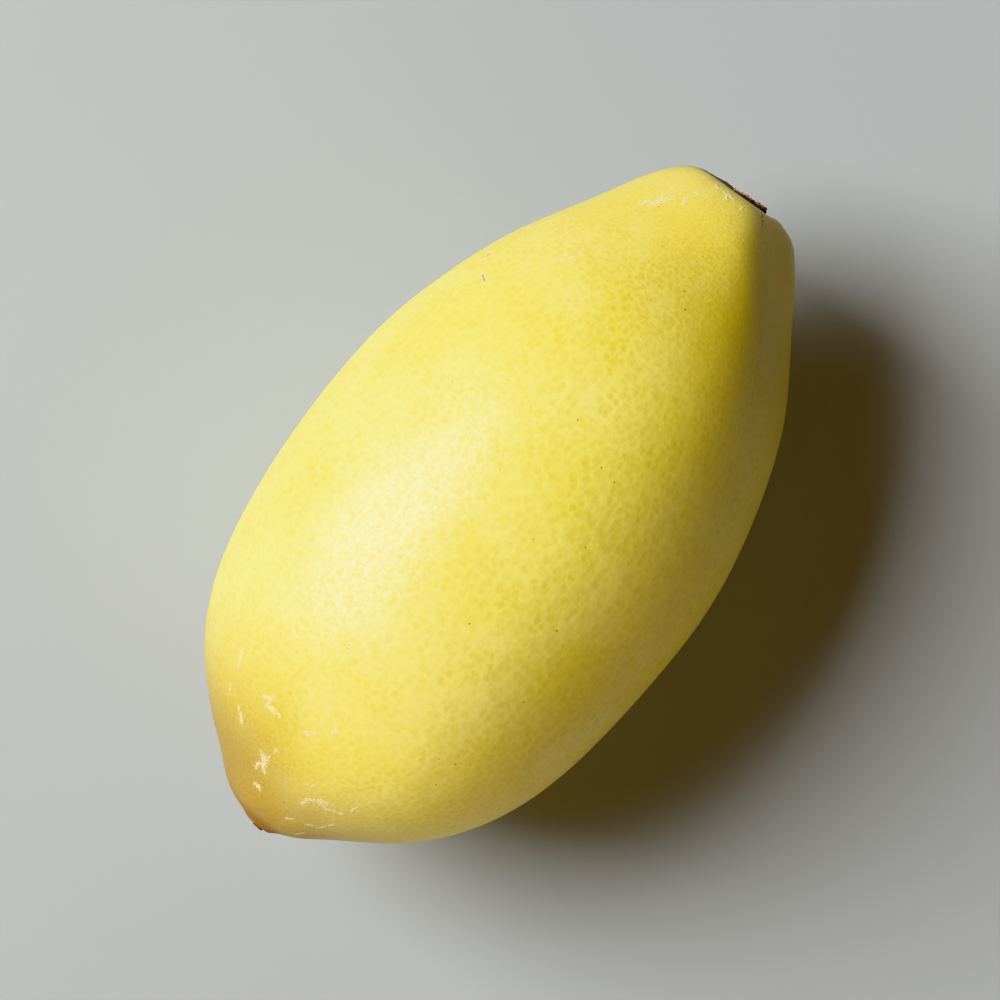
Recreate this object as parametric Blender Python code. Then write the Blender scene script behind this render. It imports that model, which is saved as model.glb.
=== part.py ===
"""A large, long lemon, as picked, lying on its side.

The fruit grew as one piece, so its rind and all that it holds are one solid. Two dry remnants of
the plant are pieces of their own: the calyx button in the dimple at the stem end, with the broken
fruit stalk on it, and the foot of the style in the crater at the blossom end.

Metres, +Z up. +X runs along the fruit to the stem end. The origin is the middle of the lemon's
footprint, on the surface that it lies on. Each piece is shaped about its own axis: a station is a
distance along that axis, and an azimuth turns about it.
"""

import math

import bmesh
import bpy
import numpy as np
from mathutils import Matrix, Vector, noise

MM = 0.001

# Driving dimensions of the fruit
SKIN_LENGTH = 119.4 * MM
WIDTH = 66.0 * MM
HEIGHT = 65.0 * MM
FLAT_SPOT_DEPTH = 0.4 * MM

# Outline of the skin, from the lip of the nipple to the rim of the dimple,
# in percent of the skin's length and percent of its greatest radius
OUTLINE = (
    (0.0, 4.4),  # lip of the nipple
    (0.7, 7.0),  # side of the nipple
    (1.4, 12.4),  # blunt end round the nipple
    (2.4, 20.4),  # end shoulder
    (4.6, 30.6),
    (7.6, 45.6),
    (10.9, 59.8),
    (16.8, 77.0),
    (25.1, 90.2),
    (36.0, 97.7),
    (47.7, 100.0),  # widest
    (59.5, 97.9),
    (70.3, 89.1),
    (80.4, 74.5),
    (88.8, 55.7),
    (94.6, 42.4),  # neck
    (98.2, 33.0),
    (99.9, 24.0),  # crown of the collar
    (99.5, 17.0),
    (98.8, 13.8),  # rim of the socket
)
SKIN_RINGS = 48
RING_CROWDING = 0.8
SEGMENTS = 60

# The collar and the blunt end lie towards +Y of the body's middle line, and socket and crater on it
COLLAR_SHIFT = 1.5 * MM
COLLAR_SHIFT_REACH = 22.0 * MM
COLLAR_RADIUS = 8.0 * MM
BLUNT_SHIFT = 0.8 * MM
BLUNT_SHIFT_REACH = 14.0 * MM
BLUNT_RADIUS = 5.0 * MM
# The crown round the dimple stands out unevenly: azimuth in degrees from +Y over +Z, and how far.
# It fades out over this much of the neck, and inwards from this radius to the socket
CROWN_RISES = (
    (0, -0.55 * MM),
    (30, -0.40 * MM),
    (60, -0.50 * MM),
    (88, -0.50 * MM),
    (114, -0.20 * MM),
    (142, 0.45 * MM),
    (180, 0.00 * MM),
    (222, 0.35 * MM),
    (262, 0.50 * MM),
    (298, 1.10 * MM),
    (330, 0.35 * MM),
)
CROWN_REACH = 9.0 * MM
CROWN_RADIUS = 7.0 * MM

# Soft ridges and hollows of the neck: azimuth in degrees from +Y over +Z,
# rise, half-width in degrees, and reach along the fruit from the stem end.
# They twist by this much on their last stretch
NECK_TWIST = 20
NECK_TWIST_REACH = 16.0 * MM
NECK_FOLDS = (
    (12, 0.5 * MM, 24, 30 * MM),
    (64, -0.4 * MM, 26, 36 * MM),
    (119, 1.1 * MM, 19, 52 * MM),
    (156, -0.9 * MM, 22, 58 * MM),
    (200, 0.5 * MM, 24, 36 * MM),
    (246, -0.4 * MM, 20, 30 * MM),
    (282, 0.6 * MM, 22, 34 * MM),
    (330, -0.3 * MM, 20, 28 * MM),
)
NIPPLE_FOLD_COUNT = 5
NIPPLE_FOLD_RISE = 0.18 * MM
NIPPLE_FOLD_REACH = 13.0 * MM

# Broad, low lumps of the body
LUMP_RISE = 0.35 * MM
LUMP_WIDTH = 26.0 * MM

# Crater in the nipple and socket in the dimple, each with a plain floor
CRATER_RADIUS = 1.2 * MM
CRATER_DEPTH = 1.2 * MM
SOCKET_RADIUS = 4.3 * MM
SOCKET_DEPTH = 1.9 * MM
SEAT_GAP = 0.3 * MM

# Calyx button, outline from the middle of its base over the edge to the middle of its top
BUTTON_RADIUS = 3.7 * MM
BUTTON_HEIGHT = 2.45 * MM
BUTTON_OUTLINE = (
    (0, 0),
    (0, 66),
    (26, 80),
    (46, 98),  # edge of the calyx disc
    (66, 96),
    (78, 80),
    (80, 60),  # foot of the stalk
    (88, 50),
    (98, 42),  # broken end of the stalk
    (98, 28),
    (90, 14),  # pith
    (88, 0),
)
BUTTON_SEGMENTS = 30
CALYX_LOBES = 5
CALYX_LOBE_RISE = 0.10
STALK_SHIFT = 0.4 * MM
CORK_RISE = 0.14 * MM
CORK_WIDTH = 0.9 * MM

# Foot of the style, outline as the button's
STYLE_RADIUS = 0.85 * MM
STYLE_HEIGHT = 0.9 * MM
STYLE_OUTLINE = ((0, 0), (0, 92), (50, 100), (95, 80), (78, 36), (70, 0))
STYLE_SEGMENTS = 18

RIND_YELLOW = "#D6C548"
CALYX_BROWN = "#8A6C42"
STYLE_BROWN = "#5A3A20"


def linear_colour(code):
    """The linear colour, with alpha, of an sRGB hex code."""
    shares = [int(code[i : i + 2], 16) / 255 for i in (1, 3, 5)]
    return [c / 12.92 if c <= 0.04045 else ((c + 0.055) / 1.055) ** 2.4 for c in shares] + [1.0]


def smooth_step(low, high, value):
    """0 at low or before it, 1 at high or after it, and smooth in between."""
    share = min(max((value - low) / (high - low), 0.0), 1.0)
    return share * share * (3 - 2 * share)


def natural_spline(points, shares):
    """Points at these shares of the length of the smooth curve through points."""
    points = np.array(points)
    knots = np.concatenate([[0.0], np.cumsum(np.linalg.norm(np.diff(points, axis=0), axis=1))])
    gaps = np.diff(knots)
    slopes = np.diff(points, axis=0) / gaps[:, None]
    system = np.eye(len(knots))
    right = np.zeros_like(points)
    for i in range(1, len(knots) - 1):
        system[i, i - 1 : i + 2] = gaps[i - 1], 2 * (gaps[i - 1] + gaps[i]), gaps[i]
        right[i] = 6 * (slopes[i] - slopes[i - 1])
    bends = np.linalg.solve(system, right)
    curve = []
    for value in np.array(shares) * knots[-1]:
        i = min(max(int(np.searchsorted(knots, value)) - 1, 0), len(gaps) - 1)
        before, after, gap = value - knots[i], knots[i + 1] - value, gaps[i]
        curve.append(
            (bends[i] * after**3 + bends[i + 1] * before**3) / (6 * gap)
            + (points[i] / gap - bends[i] * gap / 6) * after
            + (points[i + 1] / gap - bends[i + 1] * gap / 6) * before
        )
    return curve


def turned_mesh(name, outline, segments, place):
    """A closed mesh with a ring for each outline point, whose first and last points are poles.

    place(station, radius, azimuth) gives each vertex.
    """
    rings = len(outline) - 1
    bm = bmesh.new()
    bmesh.ops.create_uvsphere(bm, u_segments=segments, v_segments=rings, radius=1.0)
    for vertex in bm.verts:
        latitude = math.acos(max(-1.0, min(1.0, -vertex.co.z / vertex.co.length)))
        station, radius = outline[round(latitude / math.pi * rings)]
        vertex.co = place(station, radius, math.atan2(vertex.co.y, vertex.co.x))
    mesh = bpy.data.meshes.new(name)
    bm.to_mesh(mesh)
    bm.free()
    return mesh


def scaled_outline(percents, height, radius):
    """An outline in percent of a height and a radius, as real stations and radii."""
    return [(station * height / 100, share * radius / 100) for station, share in percents]


def fruit_outline():
    """The whole fruit's outline: crater floor, skin, socket floor."""
    skin = scaled_outline(OUTLINE, SKIN_LENGTH, WIDTH / 2)
    steps = np.linspace(0, 1, SKIN_RINGS)
    shares = steps - RING_CROWDING * np.sin(2 * math.pi * steps) / (2 * math.pi)
    crater = [(CRATER_DEPTH, 0), (CRATER_DEPTH, CRATER_RADIUS)]
    socket_floor = SKIN_LENGTH - SOCKET_DEPTH
    socket = [(socket_floor, SOCKET_RADIUS), (socket_floor, 0)]
    return crater + [tuple(point) for point in natural_spline(skin, shares)] + socket


def shift_at(station, radius):
    """How far the middle of a ring lies towards +Y."""
    collar = 1 - smooth_step(0, COLLAR_SHIFT_REACH, SKIN_LENGTH - station)
    clear_of_socket = smooth_step(SOCKET_RADIUS, COLLAR_RADIUS, radius)
    blunt_end = 1 - smooth_step(0, BLUNT_SHIFT_REACH, station)
    clear_of_crater = smooth_step(CRATER_RADIUS, BLUNT_RADIUS, radius)
    return COLLAR_SHIFT * collar * clear_of_socket + BLUNT_SHIFT * blunt_end * clear_of_crater


def crown_at(station, radius, azimuth):
    """How far the crown round the dimple stands out along the fruit, smooth between its given places."""
    turn = math.degrees(azimuth)
    for (start, low), (end, high) in zip(CROWN_RISES, CROWN_RISES[1:] + CROWN_RISES[:1]):
        past, width = (turn - start) % 360, (end - start) % 360
        if past <= width:
            rise = low + (high - low) * smooth_step(0, width, past)
    near_end = 1 - smooth_step(0, CROWN_REACH, SKIN_LENGTH - station)
    return rise * near_end * smooth_step(SOCKET_RADIUS, CROWN_RADIUS, radius)


def folds_at(station, radius, azimuth):
    """Height of the neck's and the nipple's folds above the turned shape."""
    rise = 0.0
    from_stem = SKIN_LENGTH - station
    twist = NECK_TWIST * (1 - smooth_step(0, NECK_TWIST_REACH, from_stem))
    for at, height, spread, reach in NECK_FOLDS:
        turn = (azimuth - math.radians(at - twist) + math.pi) % (2 * math.pi) - math.pi
        across = math.exp(-((turn / math.radians(spread)) ** 2))
        rise += height * across * (1 - smooth_step(reach / 4, reach, from_stem))
    clear_of_socket = smooth_step(SOCKET_RADIUS, 2 * SOCKET_RADIUS, radius)
    near_nipple = 1 - smooth_step(NIPPLE_FOLD_REACH / 4, NIPPLE_FOLD_REACH, station)
    clear_of_crater = smooth_step(CRATER_RADIUS, BLUNT_RADIUS, radius)
    nipple_fold = NIPPLE_FOLD_RISE * math.cos(NIPPLE_FOLD_COUNT * azimuth)
    return rise * clear_of_socket + nipple_fold * near_nipple * clear_of_crater


def skin_point(station, radius, azimuth):
    """A point of the fruit's surface, about the axis from the tip to the stem."""
    outward = Vector((0, math.cos(azimuth), math.sin(azimuth) * HEIGHT / WIDTH))
    spot = Vector((station, 0, 0)) + outward * radius
    lump = LUMP_RISE * noise.noise(spot / LUMP_WIDTH) * smooth_step(0, WIDTH / 4, radius)
    spot += outward * (folds_at(station, radius, azimuth) + lump)
    crown = crown_at(station, radius, azimuth)
    return spot + Vector((crown, shift_at(station, radius), 0))


def button_point(station, radius, azimuth):
    """A point of the calyx button, which has lobes, a stalk off its middle and a corky skin."""
    on_disc = smooth_step(0.6 * BUTTON_RADIUS, BUTTON_RADIUS, radius)
    on_top = smooth_step(0.3 * BUTTON_HEIGHT, 0.5 * BUTTON_HEIGHT, station)
    radius *= 1 + CALYX_LOBE_RISE * on_disc * math.cos(CALYX_LOBES * azimuth)
    spot = Vector((radius * math.cos(azimuth), radius * math.sin(azimuth), station))
    cork = CORK_RISE * noise.noise(spot / CORK_WIDTH)
    return spot + Vector((0, -STALK_SHIFT * on_top, cork * on_top))


def style_point(station, radius, azimuth):
    """A point of the style's foot, which is round."""
    return Vector((radius * math.cos(azimuth), radius * math.sin(azimuth), station))


def material(name, code, roughness):
    """A plain, non-metallic surface."""
    made = bpy.data.materials.new(name)
    made.use_nodes = True
    surface = made.node_tree.nodes["Principled BSDF"]
    surface.inputs["Base Color"].default_value = linear_colour(code)
    surface.inputs["Roughness"].default_value = roughness
    surface.inputs["Metallic"].default_value = 0.0
    made.diffuse_color = linear_colour(code)
    return made


def add_piece(collection, mesh, surface):
    """Links a smooth-shaded object of the mesh's own name."""
    mesh.materials.append(surface)
    mesh.shade_smooth()
    piece = bpy.data.objects.new(mesh.name, mesh)
    collection.objects.link(piece)
    return piece


def cut_flat_spot(mesh):
    """Slices the underside off level, and returns the height of the cut."""
    floor = min(vertex.co.z for vertex in mesh.vertices) + FLAT_SPOT_DEPTH
    bm = bmesh.new()
    bm.from_mesh(mesh)
    everything = bm.verts[:] + bm.edges[:] + bm.faces[:]
    cut = bmesh.ops.bisect_plane(
        bm, geom=everything, plane_co=(0, 0, floor), plane_no=(0, 0, 1), clear_inner=True
    )
    outline = [edge for edge in cut["geom_cut"] if isinstance(edge, bmesh.types.BMEdge)]
    bmesh.ops.contextual_create(bm, geom=outline)
    bmesh.ops.recalc_face_normals(bm, faces=bm.faces[:])
    bm.to_mesh(mesh)
    bm.free()
    return floor


def centre_on_footprint(pieces, floor):
    """Moves the pieces so that the origin is the middle of their footprint."""
    bpy.context.view_layer.update()
    corners = [piece.matrix_world @ Vector(corner) for piece in pieces for corner in piece.bound_box]
    middle = [(min(c[i] for c in corners) + max(c[i] for c in corners)) / 2 for i in (0, 1)]
    shift = Matrix.Translation(Vector((-middle[0], -middle[1], -floor)))
    for piece in pieces:
        piece.matrix_world = shift @ piece.matrix_world


def build():
    for old in list(bpy.data.objects):
        bpy.data.objects.remove(old)
    lemon = bpy.data.collections.new("lemon")
    bpy.context.scene.collection.children.link(lemon)

    fruit_mesh = turned_mesh("fruit", fruit_outline(), SEGMENTS, skin_point)
    floor = cut_flat_spot(fruit_mesh)
    fruit = add_piece(lemon, fruit_mesh, material("lemon rind", RIND_YELLOW, 0.45))

    button_outline = scaled_outline(BUTTON_OUTLINE, BUTTON_HEIGHT, BUTTON_RADIUS)
    button_mesh = turned_mesh("calyx_button", button_outline, BUTTON_SEGMENTS, button_point)
    button = add_piece(lemon, button_mesh, material("dry calyx", CALYX_BROWN, 0.85))
    seat = SKIN_LENGTH - SOCKET_DEPTH + SEAT_GAP
    button.location = (seat, 0, 0)
    button.rotation_euler = (0, math.pi / 2, 0)

    style_outline = scaled_outline(STYLE_OUTLINE, STYLE_HEIGHT, STYLE_RADIUS)
    style_mesh = turned_mesh("style_foot", style_outline, STYLE_SEGMENTS, style_point)
    style = add_piece(lemon, style_mesh, material("dry style", STYLE_BROWN, 0.8))
    style.location = (CRATER_DEPTH - SEAT_GAP, 0, 0)
    style.rotation_euler = (0, -math.pi / 2, 0)

    centre_on_footprint([fruit, button, style], floor)


build()
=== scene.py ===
"""The looks of a large, long lemon that lies on its side, seen from straight above.

Metres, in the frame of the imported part: +X runs along the fruit to the stem end, +Z is up.
"""

import math
import random

import bpy
import numpy as np
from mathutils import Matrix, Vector
from mathutils.bvhtree import BVHTree


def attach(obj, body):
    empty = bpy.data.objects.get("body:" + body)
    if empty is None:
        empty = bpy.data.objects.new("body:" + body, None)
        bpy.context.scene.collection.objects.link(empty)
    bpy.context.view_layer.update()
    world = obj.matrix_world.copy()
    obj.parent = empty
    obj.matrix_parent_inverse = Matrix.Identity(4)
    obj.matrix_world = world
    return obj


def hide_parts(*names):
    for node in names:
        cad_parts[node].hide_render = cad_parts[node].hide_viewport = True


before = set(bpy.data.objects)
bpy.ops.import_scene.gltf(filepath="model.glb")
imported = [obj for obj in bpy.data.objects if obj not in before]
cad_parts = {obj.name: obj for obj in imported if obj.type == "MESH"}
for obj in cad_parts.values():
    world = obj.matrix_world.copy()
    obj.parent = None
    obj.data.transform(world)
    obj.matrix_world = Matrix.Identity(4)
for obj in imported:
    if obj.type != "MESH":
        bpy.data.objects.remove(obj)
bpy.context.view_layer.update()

# The camera. It looks straight down on the fruit, as the photograph does, and is turned so that the
# fruit's axis runs from the lower left to the upper right. A long lens from 0.7 m keeps the two ends
# as flat as they are there.

MM = 0.001
CAMERA_HEIGHT = 0.70
CAMERA_AIM = Vector((1.1 * MM, 2.1 * MM, 32.3 * MM))
AXIS_SLOPE = math.radians(51.43)
SENSOR_WIDTH = 36.0
FRAME_WIDTH = 149.6 * MM
NEAREST, FARTHEST = 0.05, 20.0

lens = bpy.data.cameras.new("camera")
lens.sensor_width = SENSOR_WIDTH
lens.lens = SENSOR_WIDTH * CAMERA_HEIGHT / FRAME_WIDTH
lens.clip_start, lens.clip_end = NEAREST, FARTHEST
camera = bpy.data.objects.new("camera", lens)
camera.location = CAMERA_AIM + Vector((0, 0, CAMERA_HEIGHT))
camera.rotation_euler = (0, 0, -AXIS_SLOPE)
bpy.context.scene.collection.objects.link(camera)
bpy.context.scene.camera = camera
bpy.context.scene.view_settings.view_transform = "Khronos PBR Neutral"
bpy.context.scene.view_settings.look = "None"

# The stage. The fruit lies on a plain pale floor. One large window lights it from the left of the
# picture, a weaker panel from below fills in, and a faint warm sky lifts the shade.

FLOOR_SIZE = 6.0
FLOOR_COLOUR = "#A3A7AA"
FLOOR_ROUGHNESS = 0.9
LIGHTS = (
    # name, turn about +Z from +X and height in degrees, width and height of the panel, watts, colour
    ("window", 107, 43, (1.2, 1.55), 83.5, "#FDFFFD"),
    ("fill", -146, 14, (2.4, 2.4), 21.0, "#FFE2B8"),
)
LIGHT_DISTANCE = 2.0
SKY_COLOUR = "#FFCC98"
SKY_STRENGTH = 0.075


def linear(code):
    """The linear colour, with alpha, of an sRGB hex code."""
    shares = [int(code[i : i + 2], 16) / 255 for i in (1, 3, 5)]
    return [c / 12.92 if c <= 0.04045 else ((c + 0.055) / 1.055) ** 2.4 for c in shares] + [1.0]


def new_material(name):
    """A new material, its node tree and its surface shader."""
    made = bpy.data.materials.new(name)
    made.use_nodes = True
    return made, made.node_tree, made.node_tree.nodes["Principled BSDF"]


def deselect_all():
    bpy.ops.object.select_all(action="DESELECT")


deselect_all()
bpy.ops.mesh.primitive_plane_add(size=FLOOR_SIZE, location=(0, 0, 0))
floor = bpy.context.object
floor.name = "floor"
board, tree, surface_shader = new_material("pale matt board")
surface_shader.inputs["Base Color"].default_value = linear(FLOOR_COLOUR)
surface_shader.inputs["Roughness"].default_value = FLOOR_ROUGHNESS
floor.data.materials.append(board)

for name, turn, height, size, watts, code in LIGHTS:
    panel = bpy.data.lights.new(name, "AREA")
    panel.shape = "RECTANGLE"
    panel.size, panel.size_y = size
    panel.energy = watts
    panel.color = linear(code)[:3]
    light = bpy.data.objects.new(name, panel)
    turn, height = math.radians(turn), math.radians(height)
    level = Vector((math.cos(turn), math.sin(turn), 0))
    towards = level * math.cos(height) + Vector((0, 0, math.sin(height)))
    light.location = CAMERA_AIM + towards * LIGHT_DISTANCE
    light.rotation_euler = towards.to_track_quat("Z", "Y").to_euler()
    bpy.context.scene.collection.objects.link(light)

sky = bpy.data.worlds.new("sky")
sky.use_nodes = True
sky.node_tree.nodes["Background"].inputs["Color"].default_value = linear(SKY_COLOUR)
sky.node_tree.nodes["Background"].inputs["Strength"].default_value = SKY_STRENGTH
bpy.context.scene.world = sky

# The fruit. It grew as one piece. The rind is a thin, waxy, yellow skin over white pith. Oil glands
# lie close under it as darker spots in a paler net, with a faint pit over each, and where leaves and
# twigs rubbed the young fruit it healed with pale corky scars.

SKIN_MESH_SIZE = 0.6 * MM
# Cuts of each mesh edge at a mark, so that the mark's own edge is fine enough
MARK_CUTS = 3
# In mm
AXIS_HEIGHT = 32.25
BELLY_RADIUS = 33.0
BELT_EDGES = np.linspace(-60, 60, 61)
GLAND_SPACING = 1.6
GLAND_PUSH = 0.6
GLAND_PUSH_SIZE = 1.25
PIT_DEPTH = 0.018
SWELLING_SIZE = 5.0
SWELLING_DEPTH = 0.09
MARK_MARGIN = 0.7
SCAR_RISE = 0.035
SCAR_SLOPE = 0.15
CRACK_DEPTH = 0.06
CRACK_SLOPE = 0.12
FAR_OUTSIDE = -9.0
# The gland map with its seam below gives way to the other between these heights over the axis
MAP_CHANGE = (-14, -8)
# As shares of the glands' spacing
GLAND_UNEVENNESS = 0.8
PIT_EDGE = (0.55, 0.1)
SMOOTH = {"interpolation_type": "SMOOTHSTEP"}
# Strokes of the marks. Each point is x in mm, the turn about the axis from +Y over +Z in degrees,
# and half the stroke's width in mm
SCARS = (
    ((-39.5, 45, 0.24), (-40.1, 45, 0.27), (-41.8, 45, 0.09)),
    ((-44.7, 42, 0.12), (-45.7, 42, 0.09)),
    ((-46.5, 49, 0.10), (-47.2, 51, 0.19), (-48.0, 52, 0.22)),
    ((-42.6, 61, 0.12), (-42.4, 64, 0.22), (-43.4, 64, 0.24), (-43.3, 67, 0.22), (-43.4, 70, 0.18)),
    ((-41.8, 65, 0.12), (-42.8, 64, 0.18)),
    ((-42.7, 83, 0.39), (-42.5, 84, 0.09), (-41.8, 86, 0.06)),
    ((-40.2, 90, 0.30), (-39.9, 91, 0.27)),
    ((-49.6, 67, 0.18), (-50.1, 71, 0.42), (-51.0, 70, 0.33), (-51.7, 72, 0.24)),
    ((-52.1, 65, 0.09), (-51.1, 68, 0.18)),
    ((-49.3, 73, 0.10), (-50.0, 71, 0.21)),
    ((-47.6, 75, 0.07), (-48.2, 75, 0.06)),
    ((-54.2, 66, 0.09), (-54.2, 70, 0.36), (-54.3, 72, 0.24)),
    ((-52.0, 103, 0.19), (-50.7, 103, 0.27), (-50.1, 106, 0.24), (-49.8, 108, 0.36), (-49.2, 112, 0.15)),
    ((-49.3, 106, 0.12), (-50.0, 110, 0.24), (-50.3, 114, 0.18), (-49.8, 117, 0.18), (-49.4, 121, 0.19)),
    ((-48.1, 121, 0.13), (-47.5, 120, 0.15), (-46.9, 120, 0.10)),
    ((-54.3, 122, 0.13), (-53.8, 126, 0.19), (-53.3, 130, 0.22), (-51.4, 128, 0.12)),
    ((-48.6, 98, 0.18), (-48.5, 99, 0.15)),
    ((-55.4, 107, 0.10), (-55.0, 111, 0.09)),
    ((-56.8, 136, 0.09), (-55.6, 135, 0.09)),
    ((57.4, 38, 0.15), (57.8, 40, 0.07)),
    ((57.4, 55, 0.18), (57.3, 57, 0.12)),
    ((57.3, 64, 0.18), (57.4, 69, 0.33), (57.3, 73, 0.21)),
    ((56.6, 71, 0.12), (57.6, 67, 0.12)),
    ((54.7, 52, 0.21), (54.8, 54, 0.16)),
    ((57.2, 85, 0.15), (56.7, 85, 0.12)),
    ((48.2, 39, 0.12), (49.3, 40, 0.24), (49.5, 44, 0.36), (50.4, 44, 0.33), (51.0, 42, 0.18)),
    ((50.4, 44, 0.21), (51.8, 47, 0.16)),
    ((48.9, 44, 0.15), (49.4, 45, 0.18)),
    ((51.8, 41, 0.19), (52.2, 40, 0.18), (53.2, 39, 0.13)),
    ((52.2, 55, 0.30), (52.6, 53, 0.15), (53.5, 52, 0.06)),
    ((29.1, 18, 0.28), (28.4, 20, 0.34), (27.4, 21, 0.30)),
    ((25.5, 29, 0.22), (25.1, 32, 0.26), (24.6, 35, 0.18)),
    ((35.5, 17, 0.24), (36.9, 17, 0.26), (38.8, 20, 0.20), (39.9, 19, 0.20)),
    ((33.2, 47, 0.10), (35.2, 46, 0.08)),
    ((34.8, 49, 0.08), (36.5, 50, 0.09)),
    ((44.0, 53, 0.13), (44.7, 52, 0.10)),
    ((-24.5, 148, 0.16), (-24.2, 150, 0.12)),
)
# The hairline crack beside the dimple, and the brown cores of two scars
CRACKS = (
    ((58.4, 101, 0.09), (58.1, 104, 0.08), (57.8, 103, 0.06)),
    ((57.6, 105, 0.05), (57.3, 105, 0.06), (57.0, 107, 0.04), (56.6, 107, 0.03)),
    ((28.7, 19, 0.18), (28.1, 20, 0.22)),
    ((25.4, 30, 0.10), (25.1, 32, 0.14), (24.8, 34, 0.12)),
)
# The scars on the lower side: how many, and the ranges of their strokes' points, in the same units
UNSEEN_SCARS = 16
UNSEEN_SCAR_SEED = 4
UNSEEN_DISTANCE = (20, 50)
UNSEEN_TURN = (185, 350)
UNSEEN_POINTS = (2, 4)
UNSEEN_HALF_WIDTH = (0.08, 0.32)
UNSEEN_STEP = (0.9, 3)


def add(tree, kind, *values, output=0, named=(), **settings):
    """Adds a node with its settings, and returns one output. A value is a number, a colour or an
    output to link, for the inputs in order or, in named, by name."""
    node = tree.nodes.new(kind)
    for name, value in settings.items():
        setattr(node, name, value)
    for key, value in list(enumerate(values)) + list(dict(named).items()):
        if isinstance(value, bpy.types.NodeSocket):
            tree.links.new(value, node.inputs[key])
        else:
            node.inputs[key].default_value = value
    return node.outputs[output]


def apply_modifier(piece, kind, **settings):
    """Adds a modifier with its settings and applies it."""
    modifier = piece.modifiers.new(kind.lower(), kind)
    for name, value in settings.items():
        setattr(modifier, name, value)
    bpy.context.view_layer.objects.active = piece
    bpy.ops.object.modifier_apply(modifier=modifier.name)


def sink(piece, depth_at):
    """Moves each point inwards by a depth in mm, which depth_at gives as nodes."""
    tree = bpy.data.node_groups.new(piece.name + "_relief", "GeometryNodeTree")
    for way in ("INPUT", "OUTPUT"):
        tree.interface.new_socket("Geometry", in_out=way, socket_type="NodeSocketGeometry")
    place = add(tree, "GeometryNodeInputPosition")
    place = add(tree, "ShaderNodeVectorMath", place, named={"Scale": 1 / MM}, operation="SCALE")
    depth = add(tree, "ShaderNodeMath", depth_at(tree, place), -MM, operation="MULTIPLY")
    normal = add(tree, "GeometryNodeInputNormal")
    offset = add(tree, "ShaderNodeVectorMath", normal, named={"Scale": depth}, operation="SCALE")
    before = add(tree, "NodeGroupInput")
    after = add(tree, "GeometryNodeSetPosition", before, named={"Offset": offset})
    tree.nodes.new("NodeGroupOutput")
    tree.links.new(after, tree.nodes["Group Output"].inputs[0])
    apply_modifier(piece, "NODES", node_group=tree)


def glands(tree, place, row, spacing):
    """How far the nearest gland's middle is, as a share of the spacing, and that gland's own number.

    The glands are cells in a flat map of the skin, with rows round the fruit that draw together
    towards its ends. The map has a seam along the fruit, so one with its seam below serves the upper
    side, and one with its seam on top the lower side."""
    push_noise = {"Scale": 1 / GLAND_PUSH_SIZE, "Detail": 1.0}
    push = add(tree, "ShaderNodeTexNoise", place, output="Color", named=push_noise)
    push = add(tree, "ShaderNodeVectorMath", push, (0.5, 0.5, 0.5), operation="SUBTRACT")
    push = add(tree, "ShaderNodeVectorMath", push, named={"Scale": GLAND_PUSH}, operation="SCALE")
    apart = add(tree, "ShaderNodeSeparateXYZ", place).node.outputs
    found = []
    for side in (-1, 1):
        up = add(tree, "ShaderNodeMath", apart[2], side, -side * AXIS_HEIGHT, operation="MULTIPLY_ADD")
        turn = add(tree, "ShaderNodeMath", apart[1], up, operation="ARCTAN2")
        across = add(tree, "ShaderNodeMath", turn, BELLY_RADIUS, operation="MULTIPLY")
        flat = add(tree, "ShaderNodeCombineXYZ", row, across)
        flat = add(tree, "ShaderNodeVectorMath", flat, push, operation="ADD")
        cells = {"Vector": flat, "Scale": 1 / spacing, "Randomness": GLAND_UNEVENNESS}
        cell = add(
            tree, "ShaderNodeTexVoronoi", output="Distance", named=cells, voronoi_dimensions="2D"
        )
        found.append((cell, add(tree, "ShaderNodeSeparateXYZ", cell.node.outputs["Color"])))
    change = [AXIS_HEIGHT + height for height in MAP_CHANGE]
    upper = add(tree, "ShaderNodeMapRange", apart[2], *change)
    return [add(tree, "ShaderNodeMapRange", upper, 0.0, 1.0, *pair) for pair in zip(*found)]


def rind_depth(tree, place):
    """Faint pits over the glands, and soft swellings."""
    row = add(tree, "GeometryNodeInputNamedAttribute", "row", data_type="FLOAT")
    cell = glands(tree, place, row, GLAND_SPACING)[0]
    pit = add(tree, "ShaderNodeMapRange", cell, *PIT_EDGE, **SMOOTH)
    swelling = add(tree, "ShaderNodeTexNoise", place, named={"Scale": 1 / SWELLING_SIZE, "Detail": 1.0})
    depth = add(tree, "ShaderNodeMath", swelling, SWELLING_DEPTH, operation="MULTIPLY")
    return add(tree, "ShaderNodeMath", pit, PIT_DEPTH, depth, operation="MULTIPLY_ADD")


deselect_all()
skin = bpy.data.objects.new("lemon_skin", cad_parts["fruit"].data.copy())
bpy.context.scene.collection.objects.link(skin)
bpy.context.view_layer.objects.active = skin
skin.select_set(True)
bpy.ops.object.mode_set(mode="EDIT")
bpy.ops.mesh.select_all(action="SELECT")
bpy.ops.mesh.remove_doubles(threshold=0.001 * MM)
bpy.ops.mesh.tris_convert_to_quads(face_threshold=math.pi, shape_threshold=math.pi)
bpy.ops.object.mode_set(mode="OBJECT")
apply_modifier(skin, "SUBSURF", levels=2, render_levels=2)
apply_modifier(skin, "REMESH", mode="VOXEL", voxel_size=SKIN_MESH_SIZE)
apply_modifier(skin, "SMOOTH", factor=0.5, iterations=8)

surface = BVHTree.FromObject(skin, bpy.context.evaluated_depsgraph_get())


def stroke_spots(stroke):
    """A stroke's points on the skin, in mm, from its places round the axis."""
    for x, turn, _ in stroke:
        out = Vector((0, math.cos(math.radians(turn)), math.sin(math.radians(turn))))
        start = Vector((x, 0, AXIS_HEIGHT)) + 2 * BELLY_RADIUS * out
        yield np.array(surface.ray_cast(start * MM, -out)[0]) / MM


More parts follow.
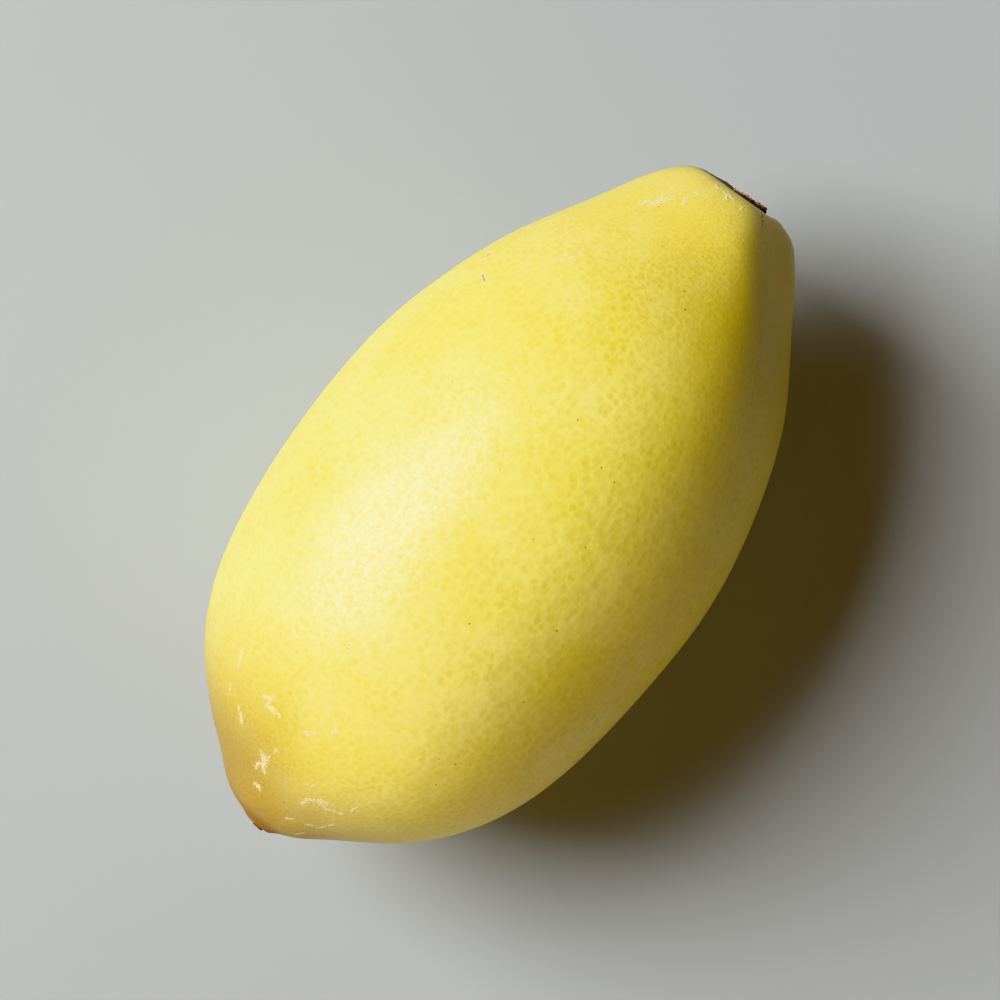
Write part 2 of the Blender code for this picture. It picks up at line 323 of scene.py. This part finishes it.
def inside(points, strokes):
    """How far each point lies inside the nearest stroke, in mm, negative outside."""
    best = np.full(len(points), FAR_OUTSIDE)
    for stroke in strokes:
        spots = list(stroke_spots(stroke))
        for i in range(len(spots) - 1):
            along = spots[i + 1] - spots[i]
            share = np.clip((points - spots[i]) @ along / (along @ along), 0, 1)[:, None]
            width = stroke[i][2] + (stroke[i + 1][2] - stroke[i][2]) * share[:, 0]
            distance = np.linalg.norm(points - spots[i] - share * along, axis=1)
            best = np.maximum(best, width - distance)
    return best


def points_of(piece):
    """The piece's points, in mm."""
    flat = np.empty(3 * len(piece.data.vertices))
    piece.data.vertices.foreach_get("co", flat)
    return flat.reshape(-1, 3) / MM


dice = random.Random(UNSEEN_SCAR_SEED)
unseen = []
for i in range(UNSEEN_SCARS):
    x = dice.choice((-1, 1)) * dice.uniform(*UNSEEN_DISTANCE)
    turn = dice.uniform(*UNSEEN_TURN)
    stroke = []
    for step in range(dice.randint(*UNSEEN_POINTS)):
        stroke.append((x, turn, dice.uniform(*UNSEEN_HALF_WIDTH)))
        moves = [dice.uniform(-most, most) for most in UNSEEN_STEP]
        x, turn = x + moves[0], turn + moves[1]
    unseen.append(tuple(stroke))
scars = SCARS + tuple(unseen)

near_mark = inside(points_of(skin), scars + CRACKS) > -MARK_MARGIN
bpy.ops.object.mode_set(mode="EDIT")
bpy.ops.mesh.select_mode(type="VERT")
bpy.ops.mesh.select_all(action="DESELECT")
bpy.ops.object.mode_set(mode="OBJECT")
skin.data.vertices.foreach_set("select", near_mark)
bpy.ops.object.mode_set(mode="EDIT")
bpy.ops.mesh.subdivide(number_cuts=MARK_CUTS)
bpy.ops.object.mode_set(mode="OBJECT")

# Where each point lies in the map of the glands: the way along the skin, drawn together as the fruit
# narrows
points = points_of(skin)
belt = np.digitize(points[:, 0], BELT_EDGES)
radii = np.hypot(points[:, 1], points[:, 2] - AXIS_HEIGHT)
found = np.unique(belt)
mean_x = np.array([points[belt == b, 0].mean() for b in found])
mean_radius = np.array([radii[belt == b].mean() for b in found])
stretch = np.sqrt(1 + np.gradient(mean_radius, mean_x) ** 2) * BELLY_RADIUS / mean_radius
rows = np.concatenate(([0], np.cumsum((stretch[1:] + stretch[:-1]) / 2 * np.diff(mean_x))))
row = np.interp(points[:, 0], mean_x, rows)
skin.data.attributes.new("row", "FLOAT", "POINT").data.foreach_set("value", row)
sink(skin, rind_depth)

# The marks stand out or are sunk, and the material reads how far inside them each point lies
marks = {"scar": inside(points_of(skin), scars), "crack": inside(points_of(skin), CRACKS)}
normals = np.empty(3 * len(skin.data.vertices))
skin.data.vertices.foreach_get("normal", normals)
rise = SCAR_RISE * np.clip(marks["scar"] / SCAR_SLOPE + 0.5, 0, 1)
rise -= CRACK_DEPTH * np.clip(marks["crack"] / CRACK_SLOPE + 1, 0, 1)
moved = points_of(skin) + rise[:, None] * normals.reshape(-1, 3)
skin.data.vertices.foreach_set("co", (moved * MM).ravel())
for name, values in marks.items():
    skin.data.attributes.new(name, "FLOAT", "POINT").data.foreach_set("value", values)
skin.data.update()
bpy.ops.object.shade_smooth()

# Waxy lemon rind: the wax gives a broad, soft gloss, and the oil glands under it a mottled yellow,
# deeper over each gland. Both ends ripened to amber, and the nipple's tip is a dry brown. Painted shade
# deepens the tip end, the furrow under the button and the side turned from the window.

# Sizes and spacings of the patterns, in mm
BROAD_SIZE = 16.0
PATCH_SIZE = 5.5
PEBBLE_SIZE = 0.7
GRIT_SIZE = 0.3
WRINKLE_SIZE = 1.3
WRINKLE_STRETCH = 3.5
SMALL_GLAND_SPACING = 0.95
SPECK_SPACING = 3.6
SCAR_LACE_SIZE = 0.38
TIP_DOT_SPACING = 1.0
# Where a spot's edge begins and ends, as shares of its spacing from its middle
GLAND_EDGE = (0.58, 0.16)
SMALL_GLAND_EDGE = (0.6, 0.2)
SPECK_EDGE = (0.052, 0.028)
SCAR_LACE_EDGE = (0.12, 0.42)
TIP_DOT_EDGE = (0.16, 0.08)
# How far grit frays the scars and the cracks, and over what width their edges fade, in mm
SCAR_FRAY = 2.2
SCAR_EDGE = (SCAR_FRAY / 2 - 0.15, SCAR_FRAY / 2 + 0.01)
CRACK_FRAY = 0.4
CRACK_EDGE = (0.14, 0.2)
# How much of their colour glands keep where they show least: in patches, on the side turned from the
# window, where they are painted fainter as in shade, and the faintest one among its neighbours
LEAST_IN_PATCH = 0.6
LEAST_ON_SHADED_SIDE = 0.56
FAINTEST_GLAND = 0.6
# Where each tint begins and where it is full, in mm along X or, where the name says so, along Y
STEM_END = (15.0, 50.0)
# Painted shade: the neck's deeper yellow on the side turned from the window
STEM_SHADE_SIDE = (26.0, 46.0)
STEM_SHADE_SIDE_Y = (-1.0, -9.0)
# The tip's amber, deepened by painted shadow, which the slant carries further up the +Y side
TIP_AMBER_AND_SHADOW = (-38.0, -63.0)
TIP_SLANT = -0.15
# Amber and painted shadow on the tip end's +Y side
TIP_SIDE_AMBER_AND_SHADOW = (-30.0, -53.0)
TIP_SIDE_AMBER_AND_SHADOW_Y = (-3.0, 9.0)
NIPPLE = (-57.3, -59.3)
# Along Y, the glands are painted fainter in shade towards -Y and full on the side the window lights
LIT_SIDE_Y = (-20.0, 10.0)
# Painted shade: a purer yellow towards -Y, the side turned from the window
PAINTED_SHADE_Y = (10.0, -20.0)
# The furrow under the button, painted dark as shade over its dry corky tissue: its middle, and from
# where to where it darkens
SHADED_FURROW = (59.5, 4.6, 29.5)
SHADED_FURROW_REACH = (6.0, 3.5)
WAX_ROUGHNESS = 0.06
# The sheen in the hollows between the pebbles and on top of them
WAX_SHEEN = (0.35, 1.15)

rind, tree, surface_shader = new_material("waxy lemon rind")

place = add(tree, "ShaderNodeTexCoord", output="Object")
place = add(tree, "ShaderNodeVectorMath", place, named={"Scale": 1 / MM}, operation="SCALE")
along = add(tree, "ShaderNodeSeparateXYZ", place)
across = along.node.outputs["Y"]
broad = add(tree, "ShaderNodeTexNoise", place, named={"Scale": 1 / BROAD_SIZE, "Detail": 1.0})
patch = add(tree, "ShaderNodeTexNoise", place, named={"Scale": 1 / PATCH_SIZE, "Detail": 2.0})
pebble = add(tree, "ShaderNodeTexNoise", place, named={"Scale": 1 / PEBBLE_SIZE, "Detail": 1.0})
grit = add(tree, "ShaderNodeTexNoise", place, named={"Scale": 1 / GRIT_SIZE, "Detail": 3.0})
stretched = add(tree, "ShaderNodeVectorMath", place, (1 / WRINKLE_STRETCH, 1, 1), operation="MULTIPLY")
wrinkle = add(tree, "ShaderNodeTexNoise", stretched, named={"Scale": 1 / WRINKLE_SIZE, "Detail": 1.0})

# The glands, the large ones and the small ones between them. Each large one has its own depth of
# colour. All show less in patches, and are painted fainter towards -Y, as in shade, than on the side
# the window lights
patches = add(tree, "ShaderNodeMapRange", patch, 0.34, 0.62, LEAST_IN_PATCH, 1.0, **SMOOTH)
lit_side = add(tree, "ShaderNodeMapRange", across, *LIT_SIDE_Y, LEAST_ON_SHADED_SIDE, 1.0, **SMOOTH)
# Glands painted fainter in shade on the side turned from the window
patches = add(tree, "ShaderNodeMath", patches, lit_side, operation="MULTIPLY")
patch_tone = add(tree, "ShaderNodeMapRange", patch, 0.4, 0.6, **SMOOTH)
row_value = add(tree, "ShaderNodeAttribute", output="Fac", attribute_name="row")
cell, own = glands(tree, place, row_value, GLAND_SPACING)
gland = add(tree, "ShaderNodeMapRange", cell, *GLAND_EDGE, **SMOOTH)
strength = add(tree, "ShaderNodeMapRange", own, 0.0, 1.0, FAINTEST_GLAND, 1.0)
gland = add(tree, "ShaderNodeMath", gland, strength, operation="MULTIPLY")
gland = add(tree, "ShaderNodeMath", gland, patches, operation="MULTIPLY")
small_cell = glands(tree, place, row_value, SMALL_GLAND_SPACING)[0]
small_gland = add(tree, "ShaderNodeMapRange", small_cell, *SMALL_GLAND_EDGE, **SMOOTH)
small_gland = add(tree, "ShaderNodeMath", small_gland, patches, operation="MULTIPLY")

# The specks where something pricked the rind, some orange and some brown
speck_cell = {"Vector": place, "Scale": 1 / SPECK_SPACING}
speck_cell = add(tree, "ShaderNodeTexVoronoi", named=speck_cell, output="Distance")
speck = add(tree, "ShaderNodeMapRange", speck_cell, *SPECK_EDGE, **SMOOTH)
own = add(tree, "ShaderNodeSeparateColor", speck_cell.node.outputs["Color"])
speck_colour = add(tree, "ShaderNodeMixRGB", own, linear("#C4842C"), linear("#5C3A1C"))

# The scars, a pale lace on tan, and the cracks. Grit frays their edges
scar_value = add(tree, "ShaderNodeAttribute", output="Fac", attribute_name="scar")
frayed = add(tree, "ShaderNodeMath", grit, SCAR_FRAY, scar_value, operation="MULTIPLY_ADD")
scar = add(tree, "ShaderNodeMapRange", frayed, *SCAR_EDGE, **SMOOTH)
lace = {"Vector": place, "Scale": 1 / SCAR_LACE_SIZE}
lace = add(tree, "ShaderNodeTexVoronoi", named=lace, output="Distance")
scar_colour = add(tree, "ShaderNodeMapRange", lace, *SCAR_LACE_EDGE, **SMOOTH)
scar_colour = add(tree, "ShaderNodeMixRGB", scar_colour, linear("#B88C34"), linear("#E6D8AC"))
crack_value = add(tree, "ShaderNodeAttribute", output="Fac", attribute_name="crack")
crack_edge = add(tree, "ShaderNodeMath", grit, CRACK_FRAY, crack_value, operation="MULTIPLY_ADD")
crack = add(tree, "ShaderNodeMapRange", crack_edge, *CRACK_EDGE, **SMOOTH)

# The amber ends, the tip end deepened by painted shadow and more so on its +Y side, and painted shade on
# the stem end's side turned from the window; the brown dots by the nipple, the nipple's dry tip, and
# painted shade over dry tissue in the furrow under the button
stem_end = add(tree, "ShaderNodeMapRange", along, *STEM_END, **SMOOTH)
# Painted shade on the neck's side turned from the window
stem_shade_side = add(tree, "ShaderNodeMapRange", along, *STEM_SHADE_SIDE, **SMOOTH)
turned = add(tree, "ShaderNodeMapRange", across, *STEM_SHADE_SIDE_Y, **SMOOTH)
stem_shade_side = add(tree, "ShaderNodeMath", stem_shade_side, turned, operation="MULTIPLY")
slanted = add(tree, "ShaderNodeMath", across, TIP_SLANT, along, operation="MULTIPLY_ADD")
# The tip's amber, deepened by painted shadow
tip_amber_and_shadow = add(tree, "ShaderNodeMapRange", slanted, *TIP_AMBER_AND_SHADOW, **SMOOTH)
nipple = add(tree, "ShaderNodeMapRange", along, *NIPPLE, **SMOOTH)
# Amber and painted shadow on the tip end's +Y side
tip_side_amber_and_shadow = add(tree, "ShaderNodeMapRange", along, *TIP_SIDE_AMBER_AND_SHADOW, **SMOOTH)
turned = add(tree, "ShaderNodeMapRange", across, *TIP_SIDE_AMBER_AND_SHADOW_Y, **SMOOTH)
tip_side_amber_and_shadow = add(tree, "ShaderNodeMath", tip_side_amber_and_shadow, turned, operation="MULTIPLY")
dots = {"Vector": place, "Scale": 1 / TIP_DOT_SPACING}
dot = add(tree, "ShaderNodeTexVoronoi", output="Distance", named=dots)
dot = add(tree, "ShaderNodeMapRange", dot, *TIP_DOT_EDGE, **SMOOTH)
tip_dot = add(tree, "ShaderNodeMath", dot, tip_amber_and_shadow, operation="MULTIPLY")
# Painted shade over dry corky tissue in the furrow under the button
from_shaded_furrow = add(tree, "ShaderNodeVectorMath", place, SHADED_FURROW, output="Value", operation="DISTANCE")
furrow_shade_and_cork = add(tree, "ShaderNodeMapRange", from_shaded_furrow, *SHADED_FURROW_REACH, **SMOOTH)

# The yellow, in broad paler and deeper areas, and over it each tint and mark with its strength. A purer
# yellow on the side turned from the window is painted shade
painted_shade_side = add(tree, "ShaderNodeMapRange", across, *PAINTED_SHADE_Y, **SMOOTH)
colour = add(tree, "ShaderNodeMapRange", broad, 0.35, 0.65, **SMOOTH)
colour = add(tree, "ShaderNodeMixRGB", colour, linear("#ECDE6C"), linear("#EFE484"))
for share, amount, code in (
    # where it lies, how strong it is and its colour
    (patch_tone, 0.10, "#DCCC4E"),
    (painted_shade_side, 0.18, "#EADA30"),
    (gland, 0.50, "#C8B812"),
    (small_gland, 0.25, "#D0C226"),
    (stem_end, 0.34, "#CCA81A"),
    (stem_shade_side, 0.60, "#CEB400"),
    (tip_amber_and_shadow, 0.90, "#9A6E06"),
    (tip_side_amber_and_shadow, 0.50, "#86660E"),
    (tip_dot, 0.8, "#553812"),
    (nipple, 0.85, "#85560F"),
    # painted shade over dry corky tissue in the furrow
    (furrow_shade_and_cork, 0.85, "#5E4412"),
    (speck, 0.8, speck_colour),
    (scar, 0.78, scar_colour),
    (crack, 0.62, "#5A3C14"),
):
    share = add(tree, "ShaderNodeMath", share, amount, operation="MULTIPLY")
    code = linear(code) if isinstance(code, str) else code
    colour = add(tree, "ShaderNodeMixRGB", share, colour, code)
tree.links.new(colour, surface_shader.inputs["Base Color"])

# The wax is rougher over grit, scars and dry parts. Its sheen differs from pebble to pebble, so that
# the highlight sparkles
roughness = WAX_ROUGHNESS
for share, amount in ((scar, 0.3), (nipple, 0.35), (furrow_shade_and_cork, 0.35), (grit, 0.52), (pebble, 0.14)):
    roughness = add(tree, "ShaderNodeMath", share, amount, roughness, operation="MULTIPLY_ADD")
tree.links.new(roughness, surface_shader.inputs["Roughness"])
wax = add(tree, "ShaderNodeMapRange", pebble, 0.36, 0.64, *WAX_SHEEN)
tree.links.new(wax, surface_shader.inputs["Specular IOR Level"])

# Relief that is too fine for the mesh, in mm
height = 0.0
for share, mm in (
    (gland, -0.007),
    (small_gland, -0.008),
    (pebble, 0.021),
    (grit, 0.007),
    (wrinkle, 0.021),
    (scar, 0.012),
    (crack, -0.03),
):
    height = add(tree, "ShaderNodeMath", share, mm, height, operation="MULTIPLY_ADD")
bump = add(tree, "ShaderNodeBump", named={"Distance": MM, "Height": height})
tree.links.new(bump, surface_shader.inputs["Normal"])
skin.data.materials.clear()
skin.data.materials.append(rind)

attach(skin, "root")
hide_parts("fruit")

# The calyx button. The five sepals of the flower dried to a corky brown disc in the dimple at the
# stem end, and the fruit stalk broke off short on it. It grew there and holds by its own tissue.

BUTTON_PLACE = Vector((58.95, 0.8, AXIS_HEIGHT + 0.4)) * MM
BUTTON_TURN = (0, math.radians(90), math.radians(6))
BUTTON_RADIUS = 3.1 * MM
BUTTON_THICKNESS = 0.8 * MM
# Rings from the disc's rim inwards, each how far in and how far out of the face, in mm
BUTTON_UNDERSIDE = ((0.35, 0.10), (0.75, 0.30), (0.10, 0.75))
BUTTON_TOP = ((0.12, 0.42), (0.50, 0.12), (0.50, -0.10), (0.35, -0.35), (0.25, 0.25), (0.25, 0.10))
SEPAL_REACH = (1.10, 1.04, 1.12, 1.06, 1.09)
SEPAL_HALF_TURN = math.radians(24)
SEPAL_OFFSET = 0.3
RIM_SHARE = 0.8
BUTTON_MESH_SIZE = 0.08 * MM
# Sizes and depths of the dry tissue's relief, in mm
SHRUNK_SIZE, SHRUNK_DEPTH = 1.4, 0.26
CORK_CRUMB_SIZE, CORK_CRUMB_DEPTH = 0.75, 0.34
CORK_CRACK_SPACING, CORK_CRACK_DEPTH = 1.1, 0.15
FIBRE_SIZE = 0.15

deselect_all()
bpy.ops.mesh.primitive_cylinder_add(
    vertices=40,
    radius=BUTTON_RADIUS,
    depth=BUTTON_THICKNESS,
    location=BUTTON_PLACE,
    rotation=BUTTON_TURN,
)
button = bpy.context.object
button.name = button.data.name = "dry_calyx"


def ring_face(piece, upper, rings):
    """Insets the piece's upper or lower face, ring by ring."""
    bpy.ops.object.mode_set(mode="EDIT")
    bpy.ops.mesh.select_mode(type="FACE")
    bpy.ops.mesh.select_all(action="DESELECT")
    bpy.ops.object.mode_set(mode="OBJECT")
    for face in piece.data.polygons:
        face.select = face.normal.z > 0.9 if upper else face.normal.z < -0.9
    bpy.ops.object.mode_set(mode="EDIT")
    for inwards, outwards in rings:
        bpy.ops.mesh.inset(thickness=inwards * MM, depth=outwards * MM)
    bpy.ops.object.mode_set(mode="OBJECT")


ring_face(button, False, BUTTON_UNDERSIDE)
ring_face(button, True, BUTTON_TOP)
for sepal, reach in enumerate(SEPAL_REACH):
    bpy.ops.object.mode_set(mode="EDIT")
    bpy.ops.mesh.select_mode(type="VERT")
    bpy.ops.mesh.select_all(action="DESELECT")
    bpy.ops.object.mode_set(mode="OBJECT")
    middle = 2 * math.pi * (sepal + SEPAL_OFFSET) / len(SEPAL_REACH)
    for vertex in button.data.vertices:
        turn = math.atan2(vertex.co.y, vertex.co.x) - middle
        near = math.cos(turn) > math.cos(SEPAL_HALF_TURN)
        vertex.select = near and vertex.co.xy.length > RIM_SHARE * BUTTON_RADIUS
    bpy.ops.object.mode_set(mode="EDIT")
    bpy.ops.transform.resize(value=(1, reach, reach), center_override=BUTTON_PLACE)
    bpy.ops.object.mode_set(mode="OBJECT")
bpy.ops.object.transform_apply(location=True, rotation=True, scale=True)
apply_modifier(button, "SUBSURF", levels=2, render_levels=2)
apply_modifier(button, "REMESH", mode="VOXEL", voxel_size=BUTTON_MESH_SIZE)


def cork_depth(tree, place):
    """Uneven shrinking, crumbs and cracks of the dry tissue."""
    shrunk = add(tree, "ShaderNodeTexNoise", place, named={"Scale": 1 / SHRUNK_SIZE, "Detail": 1.0})
    shrunk = add(tree, "ShaderNodeMapRange", shrunk, 0.4, 0.6)
    crumb = add(tree, "ShaderNodeTexNoise", place, named={"Scale": 1 / CORK_CRUMB_SIZE, "Detail": 4.0})
    crumb = add(tree, "ShaderNodeMapRange", crumb, 0.4, 0.62)
    cracks = {"Vector": place, "Scale": 1 / CORK_CRACK_SPACING}
    edge = add(tree, "ShaderNodeTexVoronoi", named=cracks, output="Distance", feature="DISTANCE_TO_EDGE")
    crack = add(tree, "ShaderNodeMapRange", edge, 0.12, 0.0, **SMOOTH)
    depth = add(tree, "ShaderNodeMath", shrunk, SHRUNK_DEPTH, operation="MULTIPLY")
    depth = add(tree, "ShaderNodeMath", crumb, CORK_CRUMB_DEPTH, depth, operation="MULTIPLY_ADD")
    return add(tree, "ShaderNodeMath", crack, CORK_CRACK_DEPTH, depth, operation="MULTIPLY_ADD")


sink(button, cork_depth)
bpy.ops.object.shade_smooth()

# Dry corky calyx: matt tan crumbs with darker fibres, and painted shade in the hollows between them,
# over a dark red-brown band of painted shade below the crumbled face.

CORK_ROUGHNESS = 0.85
# The upper edge of the band of painted shade, in mm along X. It slants with Y, and the crumbs'
# hollows pull it up
BAND_EDGE = (59.5, 59.36)
BAND_SLANT = 0.1
BAND_FRAY = -0.2

cork, tree, surface_shader = new_material("dry corky calyx")
surface_shader.inputs["Roughness"].default_value = CORK_ROUGHNESS
place = add(tree, "ShaderNodeTexCoord", output="Object")
place = add(tree, "ShaderNodeVectorMath", place, named={"Scale": 1 / MM}, operation="SCALE")
crumb = add(tree, "ShaderNodeTexNoise", place, named={"Scale": 1 / CORK_CRUMB_SIZE, "Detail": 4.0})
fibre = add(tree, "ShaderNodeTexNoise", place, named={"Scale": 1 / FIBRE_SIZE, "Detail": 2.0})
crumb = add(tree, "ShaderNodeMapRange", crumb, 0.48, 0.66, **SMOOTH)
fibre = add(tree, "ShaderNodeMapRange", fibre, 0.45, 0.65, 0.0, 0.5, **SMOOTH)
# Painted shade darkens the crumbs' hollows
colour = add(tree, "ShaderNodeMixRGB", crumb, linear("#D2B48A"), linear("#5A3820"))
colour = add(tree, "ShaderNodeMixRGB", fibre, colour, linear("#6B5138"))
out = add(tree, "ShaderNodeSeparateXYZ", place)
out = add(tree, "ShaderNodeMath", out.node.outputs["Y"], BAND_SLANT, out, operation="MULTIPLY_ADD")
out = add(tree, "ShaderNodeMath", crumb, BAND_FRAY, out, operation="MULTIPLY_ADD")
# Painted shade: a dark red-brown band under the crumbled face
painted_shade_band = add(tree, "ShaderNodeMapRange", out, *BAND_EDGE, 0.0, 0.92, **SMOOTH)
colour = add(tree, "ShaderNodeMixRGB", painted_shade_band, colour, linear("#3A1A10"))
tree.links.new(colour, surface_shader.inputs["Base Color"])
button.data.materials.append(cork)

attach(button, "root")
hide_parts("calyx_button")

# The foot of the style. The flower's style dried and broke off at the blossom end. Its hard brown
# foot is left in a small crater at the tip of the nipple, with a thin, pale, papery rim.

STYLE_PLACE = Vector((-59.5, 0, AXIS_HEIGHT)) * MM
STYLE_RADIUS = 0.95 * MM
STYLE_THICKNESS = 0.45 * MM
STYLE_TOP = ((0.03, 0.14), (0.08, 0.02), (0.08, -0.15), (0.20, -0.20))
STYLE_MESH_SIZE = 0.035 * MM
HUSK_CRUMB_SIZE, HUSK_CRUMB_DEPTH = 0.25, 0.12

deselect_all()
bpy.ops.mesh.primitive_cylinder_add(
    vertices=20,
    radius=STYLE_RADIUS,
    depth=STYLE_THICKNESS,
    location=STYLE_PLACE,
    rotation=(0, math.radians(-90), 0),
)
style = bpy.context.object
style.name = style.data.name = "dry_style_foot"
ring_face(style, True, STYLE_TOP)
bpy.ops.object.transform_apply(location=True, rotation=True, scale=True)
apply_modifier(style, "SUBSURF", levels=2, render_levels=2)
apply_modifier(style, "REMESH", mode="VOXEL", voxel_size=STYLE_MESH_SIZE)


def husk_depth(tree, place):
    """Crumbs of the dry husk."""
    crumb = add(tree, "ShaderNodeTexNoise", place, named={"Scale": 1 / HUSK_CRUMB_SIZE, "Detail": 3.0})
    return add(tree, "ShaderNodeMath", crumb, HUSK_CRUMB_DEPTH, operation="MULTIPLY")


sink(style, husk_depth)
bpy.ops.object.shade_smooth()

# Dry style husk: dark brown and matt, with a rim that has bleached to a pale tan.

HUSK_ROUGHNESS = 0.8
PALE_RIM = (-59.72, -59.84)

husk, tree, surface_shader = new_material("dry style husk")
surface_shader.inputs["Roughness"].default_value = HUSK_ROUGHNESS
place = add(tree, "ShaderNodeTexCoord", output="Object")
place = add(tree, "ShaderNodeVectorMath", place, named={"Scale": 1 / MM}, operation="SCALE")
out = add(tree, "ShaderNodeSeparateXYZ", place)
rim = add(tree, "ShaderNodeMapRange", out, *PALE_RIM, 0.0, 0.8, **SMOOTH)
colour = add(tree, "ShaderNodeMixRGB", rim, linear("#4A2814"), linear("#C9A878"))
tree.links.new(colour, surface_shader.inputs["Base Color"])
style.data.materials.append(husk)

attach(style, "root")
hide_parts("style_foot")
